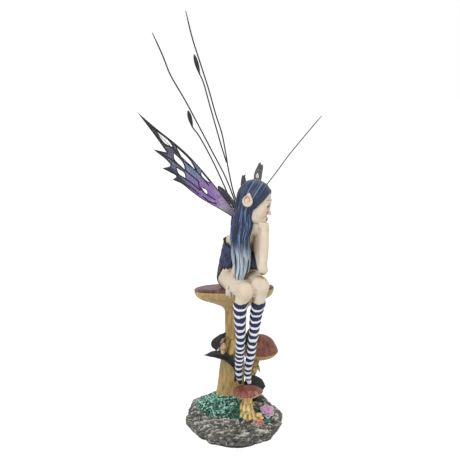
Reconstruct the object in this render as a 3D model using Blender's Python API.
"""Fairy figurine: a striped-stocking fairy seated on a tall toadstool, cold-cast resin.

Frame: the origin is the centre of the underside, +Z is up and -Y is the front that
the knees point to. Lengths in the tables are millimetres and are turned into metres
when a mesh is made.
"""

import math

import bmesh
import bpy
import numpy as np
from mathutils import Matrix, Vector

MM = 0.001

# Driving dimensions, millimetres
FIT_GAP = 0.3
BASE_RIM_HEIGHT = 8.5
BASE_MOUND_HEIGHT = 16.5
RIDGE_HEIGHT = 0.8
RIDGE_SPACING = 17.0
BASE_RADII = (
    46.0, 47.5, 46.0, 49.0, 52.5, 54.5, 52.5, 52.0, 54.5, 55.5, 51.5, 48.5,
    46.0, 48.0, 45.0, 46.5, 48.5, 46.5, 48.5, 48.0, 46.0, 48.0, 44.5, 47.0,
)
SEAT_CENTRE = (-1.6, 30.0)
SEAT_RADIUS = 37.5
SEAT_HEIGHT = 127.0
SEAT_DEPTH_RATIO = 0.86
SEAT_TILT = (0.07, -0.17)
STEM_RADIUS = 10.0
FRONT_CAP_RADIUS = 13.7
FRONT_CAP_HEIGHT = 42.4
SIDE_CAP_RADIUS = 15.0
SIDE_CAP_HEIGHT = 82.0
WING_THICKNESS = 0.9
WIRE_RADIUS = 0.62
THIN_WIRE_RADIUS = 0.5
DROP_RADIUS = 2.0


def above_seat(x, y, height):
    """A point of the figure, its height counted from the big cap's top edge."""
    return Vector((x, y, SEAT_HEIGHT + height))


def down_leg(x, y, share):
    """A point of the lower legs, by its share of the way up from the small cap to the seat."""
    return Vector((x, y, FRONT_CAP_HEIGHT + (SEAT_HEIGHT - FRONT_CAP_HEIGHT) * share))


# Skeleton of the seated figure, millimetres
PELVIS = above_seat(-1.4, 24.0, 16.5)
HIP_RIGHT = above_seat(-5.5, 19.0, 14.0)
HIP_LEFT = above_seat(8.0, 24.0, 15.5)
KNEE_RIGHT = above_seat(8.8, -34.0, 15.5)
KNEE_LEFT = above_seat(22.4, -31.0, 20.0)
SHIN_RIGHT = tuple(down_leg(*place) for place in (
    (4.6, -31.5, 1.041), (4.2, -28.0, 0.929), (4.3, -23.5, 0.781), (4.8, -19.0, 0.652), (4.7, -14.5, 0.524),
    (4.4, -9.5, 0.390), (3.6, -4.5, 0.267), (3.4, -1.0, 0.173), (3.9, 2.0, 0.102), (4.8, 5.0, 0.031),
))
SHIN_LEFT = tuple(down_leg(*place) for place in (
    (20.6, -30.0, 1.047), (18.9, -25.5, 0.929), (17.6, -21.5, 0.773), (16.7, -17.5, 0.648), (15.3, -13.0, 0.518),
    (14.4, -8.5, 0.387), (12.6, -4.0, 0.267), (11.8, -0.5, 0.173), (12.0, 2.0, 0.102), (13.4, 4.5, 0.038),
))
SHIN_RADII = (6.2, 5.7, 4.8, 4.2, 4.0, 4.0, 3.8, 3.1, 2.5, 1.6)
CHEST = above_seat(6.8, 1.0, 56.0)
NECK = above_seat(12.0, -4.0, 70.0)
HEAD = above_seat(17.6, -13.0, 91.6)
SHOULDER_RIGHT = above_seat(5.0, -15.0, 66.0)
SHOULDER_LEFT = above_seat(18.0, 8.0, 62.0)
ELBOW_LEFT = above_seat(24.6, -28.0, 34.5)
WRIST_LEFT = above_seat(26.0, -20.0, 67.0)
ELBOW_RIGHT = above_seat(4.0, -14.5, 44.5)
WRIST_RIGHT = above_seat(-2.8, -9.0, 26.0)
WING_ROOT = above_seat(4.2, 3.0, 71.0)
SIDE_AXIS = Vector((0.54, 0.80, -0.25)).normalized()
FRONT_AXIS = Vector((0.78, -0.57, -0.26)).normalized()
HEAD_FRONT = Vector((0.94, -0.22, -0.26)).normalized()
HEAD_SIDE = Vector((0.18, 0.97, -0.14))
HEAD_SIDE = (HEAD_SIDE - HEAD_FRONT * HEAD_SIDE.dot(HEAD_FRONT)).normalized()
HEAD_UP = HEAD_FRONT.cross(HEAD_SIDE).normalized()

for old in list(bpy.data.objects):
    bpy.data.objects.remove(old, do_unlink=True)

scene = bpy.context.scene


def make_material(name, colour, roughness, metallic=0.0):
    material = bpy.data.materials.new(name)
    material.use_nodes = True
    shader = material.node_tree.nodes["Principled BSDF"]
    shader.inputs["Base Color"].default_value = (*colour, 1.0)
    shader.inputs["Roughness"].default_value = roughness
    shader.inputs["Metallic"].default_value = metallic
    return material


def make_object(name, bm, helper=True):
    bmesh.ops.recalc_face_normals(bm, faces=bm.faces)
    bmesh.ops.scale(bm, vec=(MM, MM, MM), verts=bm.verts)
    mesh = bpy.data.meshes.new(name)
    bm.to_mesh(mesh)
    bm.free()
    obj = bpy.data.objects.new(name, mesh)
    scene.collection.objects.link(obj)
    if helper:
        obj.hide_render = True
        obj.display_type = "WIRE"
    return obj


def join_rings(bm, rings):
    """Bridge rings of equal size into one closed skin with flat ends."""
    loops = [[bm.verts.new(p) for p in ring] for ring in rings]
    count = len(loops[0])
    for low, high in zip(loops, loops[1:]):
        for i in range(count):
            j = (i + 1) % count
            bm.faces.new((low[i], low[j], high[j], high[i]))
    bm.faces.new(list(reversed(loops[0])))
    bm.faces.new(loops[-1])


def add_tube(bm, points, radii, sides=12):
    """A round tube along points, its ends domed by two smaller rings."""
    points = [Vector(p) for p in points]
    ways = []
    for i, p in enumerate(points):
        a = points[max(i - 1, 0)]
        b = points[min(i + 1, len(points) - 1)]
        ways.append((b - a).normalized())
    spots = [(points[0] - ways[0] * radii[0] * 0.8, ways[0], radii[0] * 0.45)]
    spots += list(zip(points, ways, radii))
    spots.append((points[-1] + ways[-1] * radii[-1] * 0.8, ways[-1], radii[-1] * 0.45))
    across = ways[0].orthogonal().normalized()
    rings = []
    for centre, way, radius in spots:
        across = (across - way * across.dot(way)).normalized()
        other = way.cross(across)
        ring = []
        for k in range(sides):
            angle = 2 * math.pi * k / sides
            ring.append(centre + (across * math.cos(angle) + other * math.sin(angle)) * radius)
        rings.append(ring)
    join_rings(bm, rings)


def add_ball(bm, centre, radii, axes=None, rings=9, sides=16):
    """An ellipsoid; axes are the directions its three radii lie along."""
    turn = Matrix.Identity(3)
    if axes is not None:
        turn = Matrix([list(a) for a in axes]).transposed()
    made = bmesh.ops.create_uvsphere(bm, u_segments=sides, v_segments=rings, radius=1.0)
    for vert in made["verts"]:
        local = Vector((vert.co.x * radii[0], vert.co.y * radii[1], vert.co.z * radii[2]))
        vert.co = turn @ local + Vector(centre)


def add_lathe(bm, profile, centre, sides=40, depth=1.0, tilt=(0.0, 0.0), drift=None, wave=0.0):
    """Turn (radius, height) pairs round an upright axis that may drift sideways with height."""
    heights, shifts = zip(*(drift or ((0.0, 0.0), (1.0, 0.0))))
    rings = []
    for radius, height in profile:
        ring = []
        for k in range(sides):
            angle = 2 * math.pi * k / sides
            swell = 1.0 + wave * math.sin(3 * angle + 0.7) + 0.6 * wave * math.sin(5 * angle)
            x = radius * swell * math.cos(angle)
            y = radius * swell * math.sin(angle) * depth
            z = height + (tilt[0] * x + tilt[1] * y) * min(1.0, max(0.0, (radius - 8.0) / 12.0))
            shift = float(np.interp(height, heights, shifts))
            ring.append(Vector((centre[0] + x + shift, centre[1] + y, z)))
        rings.append(ring)
    join_rings(bm, rings)


def ground(x, y):
    """Height of the rock under a point."""
    mound = math.exp(-((x / 42.0) ** 2 + ((y - 32.0) / 30.0) ** 2))
    ridges = 0.8 * math.sin(x * 0.16 + y * 0.05) + 0.5 * math.sin(y * 0.21)
    slates = RIDGE_HEIGHT * math.sin(2 * math.pi * (y + 0.25 * x) / RIDGE_SPACING + 1.6 * math.sin(x * 0.09))
    return BASE_RIM_HEIGHT + BASE_MOUND_HEIGHT * mound + ridges + slates


def add_rock(bm):
    """The slate-like base: a notched foot, two worn ledges and a mounded top."""
    sides = len(BASE_RADII) * 2
    shares = ((0.965, 0.0), (1.0, 2.5), (0.985, 5.0), (0.94, 6.2), (0.96, None))
    rings = []
    inner = tuple((0.9 - 0.08 * step, None) for step in range(11))
    for share, height in shares + inner:
        ring = []
        for k in range(sides):
            angle = 2 * math.pi * k / sides
            near = BASE_RADII[k // 2]
            after = BASE_RADII[(k // 2 + 1) % len(BASE_RADII)]
            radius = (near if k % 2 == 0 else 0.5 * (near + after) - 0.8) * share
            x = radius * math.cos(angle)
            y = radius * math.sin(angle) + 1.0
            z = height
            if z is None:
                z = ground(x, y) + (-1.2 if share > 0.93 else 0.0)
            ring.append(Vector((x, y, z)))
        rings.append(ring)
    join_rings(bm, rings)


def unite(target, others, kind="UNION"):
    for other in others:
        modifier = target.modifiers.new(other.name, "BOOLEAN")
        modifier.operation = kind
        modifier.solver = "EXACT"
        modifier.object = other


def seat_profile(grow=0.0):
    """The big cap from under its rim to the middle of its dished top."""
    top = SEAT_HEIGHT
    rim = SEAT_RADIUS + grow
    return [
        (rim * 0.965, top - 4.4 - grow), (rim, top - 1.8 - grow), (rim * 0.985, top + 0.5 + grow),
        (rim * 0.90, top + 1.4 + grow), (rim * 0.72, top + 1.9 + grow), (18.0, top + 2.2 + grow),
        (2.0, top + 2.2 + grow),
    ]


# Rock and the big toadstool
bm = bmesh.new()
add_rock(bm)
base_casting = make_object("base_casting", bm, helper=False)

bm = bmesh.new()
stem = [
    (17.0, 10.0), (15.4, 19.0), (13.6, 27.0), (12.4, 38.0), (12.2, 50.0), (11.6, 58.0),
    (12.4, 64.0), (10.6, 70.0), (STEM_RADIUS, 80.0), (STEM_RADIUS, SEAT_HEIGHT - 31.0),
    (10.2, SEAT_HEIGHT - 22.0), (11.4, SEAT_HEIGHT - 18.0), (14.6, SEAT_HEIGHT - 15.2),
    (23.0, SEAT_HEIGHT - 12.0), (31.0, SEAT_HEIGHT - 9.2), (35.0, SEAT_HEIGHT - 6.4),
]
drift = ((10.0, -3.6), (60.0, -1.0), (80.0, 1.6), (106.0, 2.0), (119.0, 0.6), (124.0, 0.0))
add_lathe(
    bm, stem + seat_profile(), SEAT_CENTRE, depth=SEAT_DEPTH_RATIO, tilt=SEAT_TILT,
    drift=drift, wave=0.018
)
tall_toadstool = make_object("tall_toadstool_form", bm)

# Smaller toadstools
bm = bmesh.new()
front = FRONT_CAP_HEIGHT
front_profile = [
    (6.6, 4.0), (6.8, 9.0), (5.4, 15.0), (4.9, 21.5), (7.0, 23.0), (5.0, 24.0), (4.8, 33.0),
    (8.5, front - 8.6), (13.0, front - 7.2), (FRONT_CAP_RADIUS, front - 5.6),
    (12.6, front - 3.2), (8.0, front - 0.9), (1.0, front),
]
add_lathe(bm, front_profile, (11.2, -1.0), sides=24, wave=0.03)
front_toadstool = make_object("front_toadstool_form", bm)

bm = bmesh.new()
side_profile = [
    (4.5, SIDE_CAP_HEIGHT - 24.0), (12.5, SIDE_CAP_HEIGHT - 21.5),
    (SIDE_CAP_RADIUS, SIDE_CAP_HEIGHT - 19.0), (14.4, SIDE_CAP_HEIGHT - 15.0),
    (11.6, SIDE_CAP_HEIGHT - 7.0), (6.5, SIDE_CAP_HEIGHT - 2.0), (0.8, SIDE_CAP_HEIGHT),
]
add_lathe(bm, side_profile, (25.6, 31.0), sides=24, tilt=(-0.05, 0.05), wave=0.03)
side_cap = make_object("side_cap_form", bm)
bm = bmesh.new()
side_foot, side_top = BASE_MOUND_HEIGHT + 7.5, SIDE_CAP_HEIGHT - 18.0
side_stem = [
    (x, y, side_foot + (side_top - side_foot) * share)
    for x, y, share in (
        (8.0, 32.0, 0.0), (13.5, 31.5, 0.25), (17.0, 31.0, 0.525), (20.0, 31.0, 0.75), (23.5, 31.0, 1.0),
    )
]
add_tube(bm, side_stem, (4.2, 3.6, 3.8, 2.6, 2.8))
side_stem_form = make_object("side_stem_form", bm)

# Leaves, moss and flowers, all cast with the rock
leaf_table = (
    ("leaf_collar", (-14.5, 24.0, 72.0), (8.5, 5.5, 5.0), 35.0),
    ("leaf_lobe", (-11.0, 17.5, 74.5), (5.6, 5.0, 5.6), 50.0),
    ("leaf_point", (-17.5, 21.0, 62.5), (11.5, 4.8, 2.0), -6.0),
    ("leaf_front", (-4.5, 19.0, 57.5), (11.0, 5.0, 2.6), -40.0),
    ("leaf_curl", (1.0, 20.5, 43.0), (3.6, 3.6, 6.5), 0.0),
    ("leaf_bracket", (18.5, 29.0, 37.0), (8.0, 6.0, 5.4), 20.0),
)
greens = []
for label, centre, radii, pitch in leaf_table:
    bm = bmesh.new()
    turn = math.radians(pitch)
    axes = (
        Vector((math.cos(turn), 0.0, math.sin(turn) * 0.4)).normalized(),
        Vector((0.0, 1.0, 0.15)).normalized(),
        Vector((-math.sin(turn) * 0.4, -0.15, math.cos(turn))).normalized(),
    )
    add_ball(bm, centre, radii, axes, rings=6, sides=12)
    greens.append(make_object(label, bm))

lump_table = (
    ("moss_patch", (-16.0, 16.5, 17.0), (20.0, 19.0, 6.5)),
    ("moss_edge", (4.0, 3.0, 10.6), (11.0, 9.0, 4.0)),
    ("moss_tuft_a", (-25.0, 4.0, 17.0), (5.0, 5.0, 4.4)),
    ("moss_tuft_b", (-12.0, 0.5, 16.4), (5.4, 4.6, 4.2)),
    ("moss_tuft_c", (-3.0, 4.0, 15.0), (4.8, 4.6, 3.6)),
    ("moss_tuft_d", (-20.0, 12.0, 21.0), (5.6, 5.2, 4.4)),
    ("moss_tuft_e", (-31.0, 14.0, 18.0), (4.6, 5.0, 4.2)),
    ("baby_toadstool", (20.5, -3.0, 11.5), (4.6, 4.6, 5.4)),
    ("pink_flower", (30.0, 4.0, 14.5), (6.6, 6.6, 4.6)),
    ("leaf_cluster", (22.0, 7.5, 16.0), (5.0, 6.0, 4.6)),
    ("low_leaves", (29.4, -6.6, 10.4), (4.6, 4.6, 3.4)),
    ("red_flower", (23.2, -13.2, 9.6), (3.6, 3.1, 3.0)),
)
for label, centre, radii in lump_table:
    bm = bmesh.new()
    add_ball(bm, centre, radii, rings=7, sides=14)
    greens.append(make_object(label, bm))

unite(base_casting, [tall_toadstool, front_toadstool, side_stem_form, side_cap] + greens)

# The seated fairy, one casting
bm = bmesh.new()
torso_axes = (SIDE_AXIS, FRONT_AXIS, SIDE_AXIS.cross(FRONT_AXIS).normalized())
hip_side = Vector((0.96, 0.28, 0.0)).normalized()
hip_front = Vector((0.28, -0.96, 0.0)).normalized()
hip_axes = (hip_side, hip_front, Vector((0.0, 0.0, 1.0)))
add_ball(bm, PELVIS, (15.0, 14.0, 14.0), hip_axes)
add_ball(bm, PELVIS.lerp(CHEST, 0.5) + Vector((-1.0, 1.0, 0.0)), (13.0, 12.0, 17.0), hip_axes)
add_ball(bm, CHEST, (14.0, 11.0, 14.0), torso_axes)
add_ball(bm, above_seat(1.8, 7.0, 46.0), (10.2, 9.6, 12.0))
add_ball(bm, above_seat(9.2, -1.0, 36.0), (10.2, 9.6, 12.0))
add_ball(bm, CHEST.lerp(NECK, 0.72), (12.5, 8.0, 8.5), torso_axes)
add_tube(bm, (CHEST, NECK, NECK.lerp(HEAD, 0.6)), (5.2, 5.0, 5.0))
for hip, knee, shin in (
    (HIP_RIGHT, KNEE_RIGHT, SHIN_RIGHT), (HIP_LEFT, KNEE_LEFT, SHIN_LEFT),
):
    add_tube(bm, (hip, hip.lerp(knee, 0.35), hip.lerp(knee, 0.75), knee), (10.6, 10.4, 9.0, 7.4))
    add_tube(bm, (knee,) + shin, (7.2,) + SHIN_RADII)
add_tube(bm, (SHOULDER_RIGHT, ELBOW_RIGHT, WRIST_RIGHT), (6.0, 4.7, 3.6))
add_tube(bm, (SHOULDER_LEFT, SHOULDER_LEFT.lerp(ELBOW_LEFT, 0.6), ELBOW_LEFT), (6.0, 5.0, 4.8))
add_tube(bm, (ELBOW_LEFT, ELBOW_LEFT.lerp(WRIST_LEFT, 0.5), WRIST_LEFT), (4.9, 5.2, 3.9))
add_ball(bm, WRIST_LEFT + Vector((0.0, 1.0, 5.5)), (4.4, 4.2, 6.0))
add_ball(bm, WRIST_RIGHT + Vector((-2.0, 0.5, -7.5)), (4.6, 3.6, 7.0))
for shift in (-3.4, -1.0, 1.4):
    start = WRIST_RIGHT + Vector((shift - 2.0, -1.5, -10.0))
    add_tube(bm, (start, start + Vector((-0.8, -3.4, -5.0)), start + Vector((-0.6, -4.0, -11.0))), (1.7, 1.6, 1.3), sides=8)


def on_head(ahead, aside, above):
    """A point of the head: forward, to its own left, and up."""
    return HEAD + HEAD_FRONT * ahead + HEAD_SIDE * aside + HEAD_UP * above


head_axes = (HEAD_FRONT, HEAD_SIDE, HEAD_UP)
add_ball(bm, on_head(-1.8, 0.0, 3.6), (14.8, 13.2, 15.4), head_axes)
add_ball(bm, on_head(-4.2, 0.0, 4.2), (15.2, 14.8, 16.8), head_axes)
add_ball(bm, on_head(3.6, 0.0, -3.4), (9.8, 10.6, 14.2), head_axes)
add_ball(bm, on_head(6.6, 0.0, -11.4), (6.4, 6.4, 6.6), head_axes)
add_ball(bm, on_head(8.4, 0.0, -6.2), (5.0, 8.6, 6.0), head_axes)
add_ball(bm, on_head(-7.0, 0.0, -7.0), (10.4, 12.4, 12.4), head_axes)
add_tube(bm, (on_head(12.0, 0.0, 1.0), on_head(14.6, 0.0, -6.6)), (1.5, 2.0), sides=8)
for side in (-1.0, 1.0):
    add_ball(bm, on_head(-4.6, 13.8 * side, 0.6), (4.3, 2.4, 5.0), head_axes)
    ear = (on_head(-4.9, 14.4 * side, 3.0), on_head(-5.2, 15.4 * side, 6.4), on_head(-5.4, 16.0 * side, 8.2))
    add_tube(bm, ear, (2.8, 1.9, 1.2), sides=8)
far_hair = (on_head(-7.0, 6.0, -8.0), above_seat(8.0, 9.0, 71.0), above_seat(9.0, 12.5, 59.0), above_seat(9.5, 14.5, 47.0))
add_tube(bm, far_hair, (8.0, 7.4, 6.2, 3.0))
hair = [
    HEAD + Vector((-7.0, -2.0, 2.0)), HEAD + Vector((-9.6, -6.0, -8.0)),
    above_seat(6.2, -16.0, 70.0), above_seat(4.6, -20.0, 57.0), above_seat(5.8, -21.0, 43.0),
    above_seat(5.8, -20.0, 31.0), above_seat(3.2, -19.0, 21.0),
]
add_tube(bm, hair, (9.4, 9.4, 9.2, 8.0, 8.2, 6.2, 2.4))
front_lock = [
    HEAD + Vector((1.0, -12.5, 3.0)), HEAD + Vector((-2.0, -14.0, -8.0)), above_seat(10.8, -22.0, 71.0),
    above_seat(8.4, -23.0, 57.0), above_seat(10.0, -22.0, 43.0),
]
add_tube(bm, front_lock, (3.6, 4.2, 5.2, 4.4, 3.6), sides=10)
fairy_casting = make_object("fairy_casting", bm, helper=False)
skin = fairy_casting.modifiers.new("one_skin", "REMESH")
skin.mode = "VOXEL"
skin.voxel_size = 0.9 * MM
soft = fairy_casting.modifiers.new("soften", "SMOOTH")
soft.factor = 0.5
soft.iterations = 3
thin = fairy_casting.modifiers.new("lighten", "DECIMATE")
thin.ratio = 0.105

# Seat fit: the figure is cut back from the cap that carries it
bm = bmesh.new()
cutter_profile = [(20.0, SEAT_HEIGHT - 16.0)] + seat_profile(FIT_GAP + 0.1)
add_lathe(
    bm, cutter_profile, SEAT_CENTRE, depth=SEAT_DEPTH_RATIO, tilt=SEAT_TILT, wave=0.018
)
seat_cutter = make_object("seat_cutter", bm)
bm = bmesh.new()
toe_cut = [(r + FIT_GAP + 0.1, z + (FIT_GAP + 0.1 if z > 38 else -0.4)) for r, z in front_profile[-6:]]
add_lathe(bm, toe_cut, (11.2, -1.0), sides=24, wave=0.03)
toe_cutter = make_object("toe_cutter", bm)


def wire_path(points, steps=5):
    """A smooth path through the points, by Catmull-Rom pieces."""
    pts = [above_seat(*p) for p in points]
    pts = [pts[0] * 2 - pts[1]] + pts + [pts[-1] * 2 - pts[-2]]
    out = []
    for a, b, c, d in zip(pts, pts[1:], pts[2:], pts[3:]):
        for k in range(steps):
            t = k / steps
            out.append(
                0.5 * (2 * b + (c - a) * t + (2 * a - 5 * b + 4 * c - d) * t * t
                       + (3 * b - a - 3 * c + d) * t ** 3)
            )
    out.append(pts[-2])
    return out


def root_of(side, up):
    """Where a wire enters the back, and the bottom of its hole."""
    lift = Vector((-0.30, 0.05, 0.95)).normalized()
    mouth = WING_ROOT + SIDE_AXIS * side + lift * up
    return mouth, mouth + FRONT_AXIS * 4.5 - lift * 1.5


# Wires: name, radius, (side, up) of the hole, points above the seat from the back out to the tip
wire_table = (
    ("tendril_right", WIRE_RADIUS, (-0.6, 5.2),
     ((-0.6, 4.5, 90.0), (-9.0, 2.5, 112.0), (-20.5, -0.5, 135.0), (-31.5, -4.5, 157.0),
      (-44.0, -8.5, 181.5), (-56.0, -12.0, 203.0), (-62.5, -14.0, 220.0), (-71.0, -16.0, 239.5)), None),
    ("tendril_left", THIN_WIRE_RADIUS, (4.4, 4.4),
     ((12.0, 12.0, 82.5), (21.0, 24.0, 91.0), (30.4, 38.0, 99.7), (39.9, 50.0, 109.6),
      (50.5, 63.0, 121.5), (67.0, 80.0, 138.4), (84.4, 98.0, 155.4)), None),
    ("tendril_drop", WIRE_RADIUS, (1.0, 2.2),
     ((-3.6, 7.2, 87.5), (-11.8, 7.4, 107.0), (-21.0, 6.6, 127.0), (-31.4, 5.0, 146.7),
      (-38.0, 4.0, 156.0)), (-41.8, 2.6, 171.0)),
)
wires = []
cutters = []


def add_drop(bm, foot, tip, radius):
    """A teardrop at the end of a wire, from the wire's end to the drop's tip."""
    spine = [foot.lerp(tip, t) for t in (0.0, 0.15, 0.35, 0.6, 0.82, 1.0)]
    add_tube(bm, spine, [max(radius * s, 0.5) for s in (0.35, 0.55, 0.85, 1.0, 0.75, 0.3)], sides=10)


def build_wire(name, radius, entry, points, drop=None, branch=None, branch_drop=None):
    mouth, deep = root_of(*entry)
    bm = bmesh.new()
    path = [deep, mouth] + wire_path(points)
    add_tube(bm, path, [radius] * len(path), sides=8)
    wire = make_object(name, bm, helper=False)
    extras = []
    if drop:
        bm = bmesh.new()
        add_drop(bm, path[-1], above_seat(*drop), DROP_RADIUS)
        extras.append(make_object(name + "_drop_form", bm))
    if branch:
        bm = bmesh.new()
        fork = wire_path(branch)
        add_tube(bm, fork, [radius] * len(fork), sides=8)
        extras.append(make_object(name + "_branch_form", bm))
        bm = bmesh.new()
        add_drop(bm, fork[-1], above_seat(*branch_drop), DROP_RADIUS)
        extras.append(make_object(name + "_branch_drop_form", bm))
    unite(wire, extras)
    bm = bmesh.new()
    outward = mouth + (path[2] - mouth).normalized() * 9.0
    add_tube(bm, (deep + (deep - mouth).normalized() * 0.3, mouth, outward), (radius + FIT_GAP,) * 3, sides=8)
    cutters.append(make_object(name + "_hole", bm))
    return wire


for name, radius, entry, points, drop in wire_table:
    wires.append(build_wire(name, radius, entry, points, drop))
stalk = (
    (2.0, 10.4, 85.0), (-2.4, 12.0, 99.0), (-6.4, 13.4, 118.0), (-8.5, 14.0, 131.0), (-12.0, 15.0, 149.0),
    (-17.5, 16.5, 166.0), (-24.0, 18.0, 189.0), (-31.0, 19.0, 211.0), (-38.0, 19.5, 233.0),
    (-43.8, 20.0, 257.0),
)
branch = (
    (-7.8, 13.2, 123.0), (-12.5, 12.5, 138.0), (-17.5, 12.0, 156.0), (-23.0, 12.0, 175.5),
    (-28.0, 12.0, 194.0), (-31.5, 12.0, 202.0),
)
wires.append(build_wire("tendril_fork", WIRE_RADIUS, (2.2, 5.2), stalk, None, branch, (-36.4, 12.0, 219.5)))

# Wings: outline and cut-outs on the flat pattern, millimetres from the root.
# The first number runs along the blade and the second across it.
right_outline = (
    (-3.4, -1.5), (-3.4, 1.5), (8.0, 1.7), (22.0, 3.0), (40.0, 4.6), (58.0, 6.2), (76.0, 6.8),
    (94.0, 5.2), (114.0, 2.0), (134.5, 0.0), (114.0, -2.2), (100.0, -4.4), (89.0, -6.0),
    (101.0, -12.4), (86.0, -12.0), (78.0, -11.0), (83.6, -18.0), (72.0, -15.4), (66.0, -13.6),
    (70.0, -18.4), (57.0, -14.4), (37.0, -10.8), (21.0, -5.2), (9.0, -2.6), (0.0, -1.6),
)
right_slots = (
    ((108.0, 0.6), (98.0, 2.8), (92.0, 1.4), (98.0, -1.6)),
    ((87.0, 3.6), (72.0, 4.6), (64.0, 2.4), (76.0, 0.4)),
    ((86.0, -1.6), (75.0, -1.2), (70.0, -4.2), (82.0, -5.0)),
    ((54.0, 4.0), (38.0, 3.0), (42.0, 1.6), (52.0, 2.0)),
    ((74.0, -8.6), (67.0, -6.6), (64.0, -9.0), (70.0, -10.8)),
    ((47.0, -5.4), (41.0, -3.0), (40.0, -6.6)),
)
left_outline = (
    (-3.4, -1.5), (-3.4, 1.5), (8.0, 1.8), (24.0, 3.4), (42.0, 5.4), (60.0, 6.8), (78.0, 7.0),
    (96.0, 5.2), (112.0, 2.2), (128.0, 0.0), (112.0, -2.4), (98.0, -4.6), (89.0, -6.0),
    (98.0, -12.0), (84.0, -11.6), (76.0, -10.6), (81.0, -17.0), (66.0, -13.0), (66.0, -17.4),
    (54.0, -13.6), (36.0, -10.0), (20.0, -5.0), (9.0, -2.6), (0.0, -1.6),
)
left_slots = (
    ((104.0, 0.6), (96.0, 2.6), (90.0, 1.4), (96.0, -1.6)),
    ((85.0, 3.8), (70.0, 4.6), (62.0, 2.4), (74.0, 0.4)),
    ((84.0, -1.6), (73.0, -1.2), (68.0, -4.2), (80.0, -5.0)),
    ((52.0, 3.8), (38.0, 3.0), (42.0, 1.4), (50.0, 1.8)),
    ((72.0, -8.2), (64.0, -6.4), (64.0, -9.6)),
)
hind_outline = (
    (-1.0, -1.4), (0.0, 1.6), (10.0, 3.0), (22.0, 4.4), (34.0, 3.8), (46.0, 1.0), (38.0, -2.2),
    (30.0, -3.0), (33.0, -6.6), (22.0, -5.4), (10.0, -3.4),
)
hind_slots = (((35.0, 0.2), (27.0, 2.2), (25.0, 0.2)), ((20.0, 1.8), (12.0, 1.2), (17.0, -0.6)))


def add_blade(bm, outline, slots, frame, bend, thickness):
    """A thin sheet with cut-outs, swept out of its flat pattern by a gentle bend."""
    root, along, across, normal = frame
    edges = []
    for loop in (outline,) + tuple(slots):
        verts = [bm.verts.new((p[0], p[1], 0.0)) for p in loop]
        edges += [bm.edges.new((verts[i], verts[(i + 1) % len(verts)])) for i in range(len(verts))]
    bmesh.ops.triangle_fill(bm, use_beauty=True, use_dissolve=False, edges=edges)
    made = bmesh.ops.extrude_face_region(bm, geom=list(bm.faces))
    for item in made["geom"]:
        if isinstance(item, bmesh.types.BMVert):
            item.co.z += thickness
    for vert in bm.verts:
        p, q, t = vert.co
        t += bend * max(p, 0.0) ** 2 / 132.0 - thickness * 0.5
        vert.co = root + along * p + across * q + normal * t


def blade_frame(tip, lean, root):
    root = above_seat(*root)
    along = (above_seat(*tip) - root).normalized()
    across = Vector(lean)
    across = (across - along * across.dot(along)).normalized()
    return root, along, across, along.cross(across)


blade_table = (
    ("wing_right", (-84.0, -20.0, 171.0), (0.75, 0.10, 0.65), (4.6, -1.4, 72.6), right_outline, right_slots, 0.04),
    ("wing_left", (27.0, 121.0, 105.5), (-0.10, -0.25, 0.95), (8.4, 6.6, 68.6), left_outline, left_slots, -0.04),
)
bm = bmesh.new()
hind_frame = blade_frame((-20.6, 38.0, 101.6), (0.35, 0.30, 0.60), (8.4, 6.6, 68.6))
add_blade(bm, hind_outline, hind_slots, hind_frame, 0.0, WING_THICKNESS)
hind_blade = make_object("hind_blade_form", bm)
wings = []
for name, tip, lean, root, outline, slots, bend in blade_table:
    frame = blade_frame(tip, lean, root)
    bm = bmesh.new()
    add_blade(bm, outline, slots, frame, bend, WING_THICKNESS)
    wings.append(make_object(name, bm, helper=False))
    bm = bmesh.new()
    pad = FIT_GAP
    slot = (
        (-3.4 - pad, -1.5 - pad), (-3.4 - pad, 1.5 + pad), (8.0, 1.8 + pad), (27.0, 4.2 + pad),
        (27.0, -7.4 - pad), (9.0, -2.6 - pad), (0.0, -1.6 - pad),
    )
    add_blade(bm, slot, (), frame, bend, WING_THICKNESS + 2 * pad)
    cutters.append(make_object(name + "_slot", bm))

unite(wings[1], [hind_blade])
bm = bmesh.new()
pad = FIT_GAP
hind_slot = (
    (-1.0 - pad, -1.4 - pad), (-pad, 1.6 + pad), (10.0, 3.0 + pad), (24.0, 4.5 + pad),
    (24.0, -5.8 - pad), (10.0, -3.4 - pad),
)
add_blade(bm, hind_slot, (), hind_frame, 0.0, WING_THICKNESS + 2 * pad)
cutters.append(make_object("hind_slot", bm))

unite(fairy_casting, [seat_cutter, toe_cutter] + cutters, "DIFFERENCE")

resin = make_material("painted_resin", (0.45, 0.42, 0.36), 0.55)
figure = make_material("painted_figure", (0.72, 0.68, 0.64), 0.5)
wing_metal = make_material("printed_wing", (0.36, 0.34, 0.45), 0.35, 0.6)
wire_metal = make_material("black_wire", (0.02, 0.02, 0.022), 0.4, 0.8)
base_casting.data.materials.append(resin)
fairy_casting.data.materials.append(figure)
for obj in wings:
    obj.data.materials.append(wing_metal)
for obj in wires:
    obj.data.materials.append(wire_metal)
